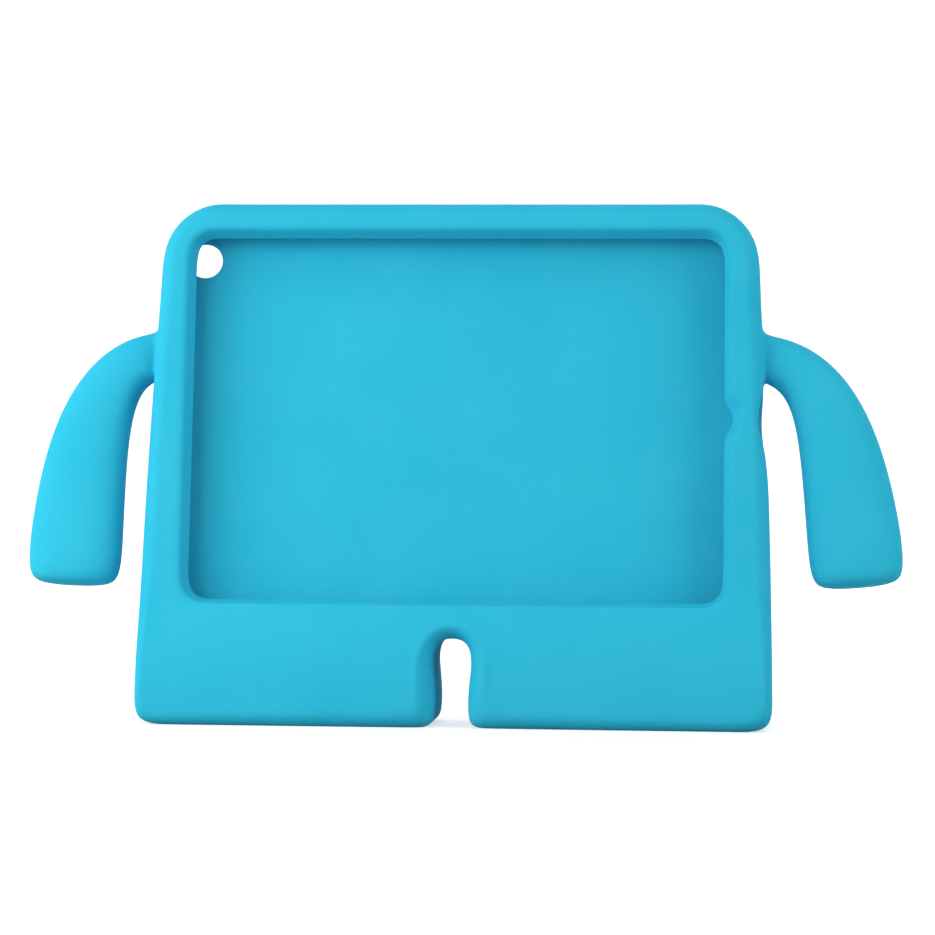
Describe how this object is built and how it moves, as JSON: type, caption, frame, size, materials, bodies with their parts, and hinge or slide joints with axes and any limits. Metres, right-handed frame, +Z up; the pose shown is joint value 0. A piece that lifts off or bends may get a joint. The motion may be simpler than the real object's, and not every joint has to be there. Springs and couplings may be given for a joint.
{
  "type": "foam tablet case",
  "caption": "Moulded foam case that grips a small tablet on its side, with a raised frame round the screen, two hanging carrying arms and two wide feet that stand it leaning back",
  "frame": {"origin": "Middle of the bounding box on the floor, between the feet.", "axes": "+X runs to the right along the length of the case as the screen side is seen, +Y runs from the screen side to the back, +Z is up. The glass leans back by 7.3 degrees from upright."},
  "size_m": [0.3006, 0.0496, 0.1791],
  "materials": {
    "foam": "matte"
  },
  "bodies": {
    "root": {"foam_case": "foam"}
  },
  "joints": []
}
